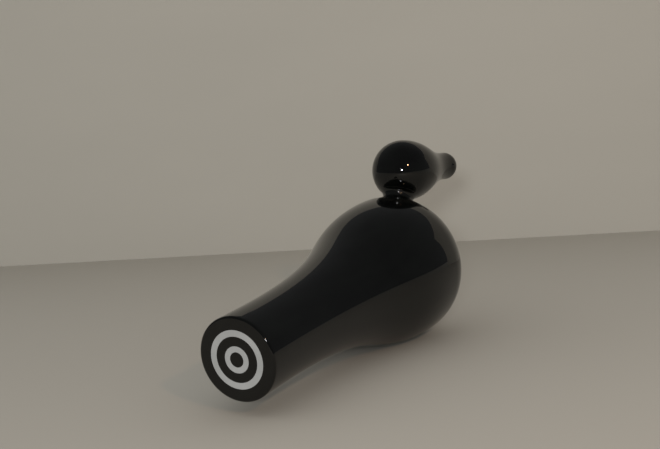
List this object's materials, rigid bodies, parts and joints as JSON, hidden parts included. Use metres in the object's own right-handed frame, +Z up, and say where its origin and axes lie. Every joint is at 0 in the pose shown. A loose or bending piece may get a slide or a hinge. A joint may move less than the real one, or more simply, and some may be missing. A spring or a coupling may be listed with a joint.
{
  "type": "glass bird figurine",
  "caption": "Black glass bird figurine: hollow cased body drawn out into a cut tail with white rings, ball head and short beak welded on top; rests on a small belly flat.",
  "frame": {"origin": "on the flat under the belly that the bird rests on, below the lowest place of its round body", "axes": "+X the way the bird faces, +Y to its left, +Z up"},
  "size_m": [0.3099, 0.11, 0.1485],
  "materials": {
    "black_glass": "opaque black glass, fire-polished, glossy",
    "white_glass": "opaque white glass, polished where it is cut"
  },
  "bodies": {
    "root": {"body_casing": "black_glass", "outer_white_layer": "white_glass", "middle_black_layer": "black_glass", "inner_white_layer": "white_glass", "black_core": "black_glass", "neck_joint": "black_glass", "head": "black_glass", "beak": "black_glass"}
  },
  "joints": []
}
